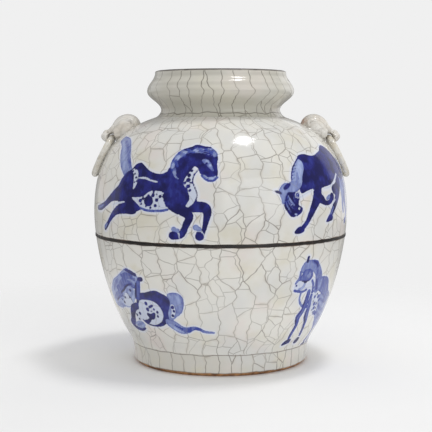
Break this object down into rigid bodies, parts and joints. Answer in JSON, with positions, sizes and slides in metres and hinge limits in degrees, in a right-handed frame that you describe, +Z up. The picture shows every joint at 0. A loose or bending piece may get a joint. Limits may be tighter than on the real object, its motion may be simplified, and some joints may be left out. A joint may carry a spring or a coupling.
{
  "type": "lidless storage jar",
  "caption": "Bulbous crackle-glazed ceramic jar with cup mouth, brown belly band, blue painted horses and lion masks holding loose rings.",
  "frame": {"origin": "middle of the foot's underside, on the surface that the jar stands on", "axes": "+Z up along the jar's axis, +X towards the right mask, -Y towards the side with the galloping horse"},
  "size_m": [0.2144, 0.2104, 0.2408],
  "materials": {
    "body_glaze": "glossy crackled off-white glaze with cobalt blue horses",
    "neck_glaze": "glossy crackled glaze, slightly greener where it pools",
    "foot_glaze": "crackled glaze above a bare orange-brown clay edge",
    "mask_glaze": "thick glossy glaze over pressed relief",
    "ring_glaze": "glossy glaze over a rolled clay ring",
    "iron_brown": "semi-matt iron-brown dressing"
  },
  "bodies": {
    "jar": {"foot_ring": "foot_glaze", "lower_body": "body_glaze", "belly_band": "iron_brown", "upper_body": "body_glaze", "neck": "neck_glaze", "lip_edge": "iron_brown", "left_mask": "mask_glaze", "right_mask": "mask_glaze"},
    "left_ring": {"left_ring": "ring_glaze"},
    "right_ring": {"right_ring": "ring_glaze"}
  },
  "joints": [
    {"name": "left_ring_swing", "type": "hinge", "parent": "jar", "child": "left_ring", "pos_m": [-0.08998, 0, 0.18592], "axis": [0, 1, 0], "range_deg": [0, 140]},
    {"name": "right_ring_swing", "type": "hinge", "parent": "jar", "child": "right_ring", "pos_m": [0.08998, 0, 0.18592], "axis": [0, -1, 0], "range_deg": [0, 140]}
  ]
}
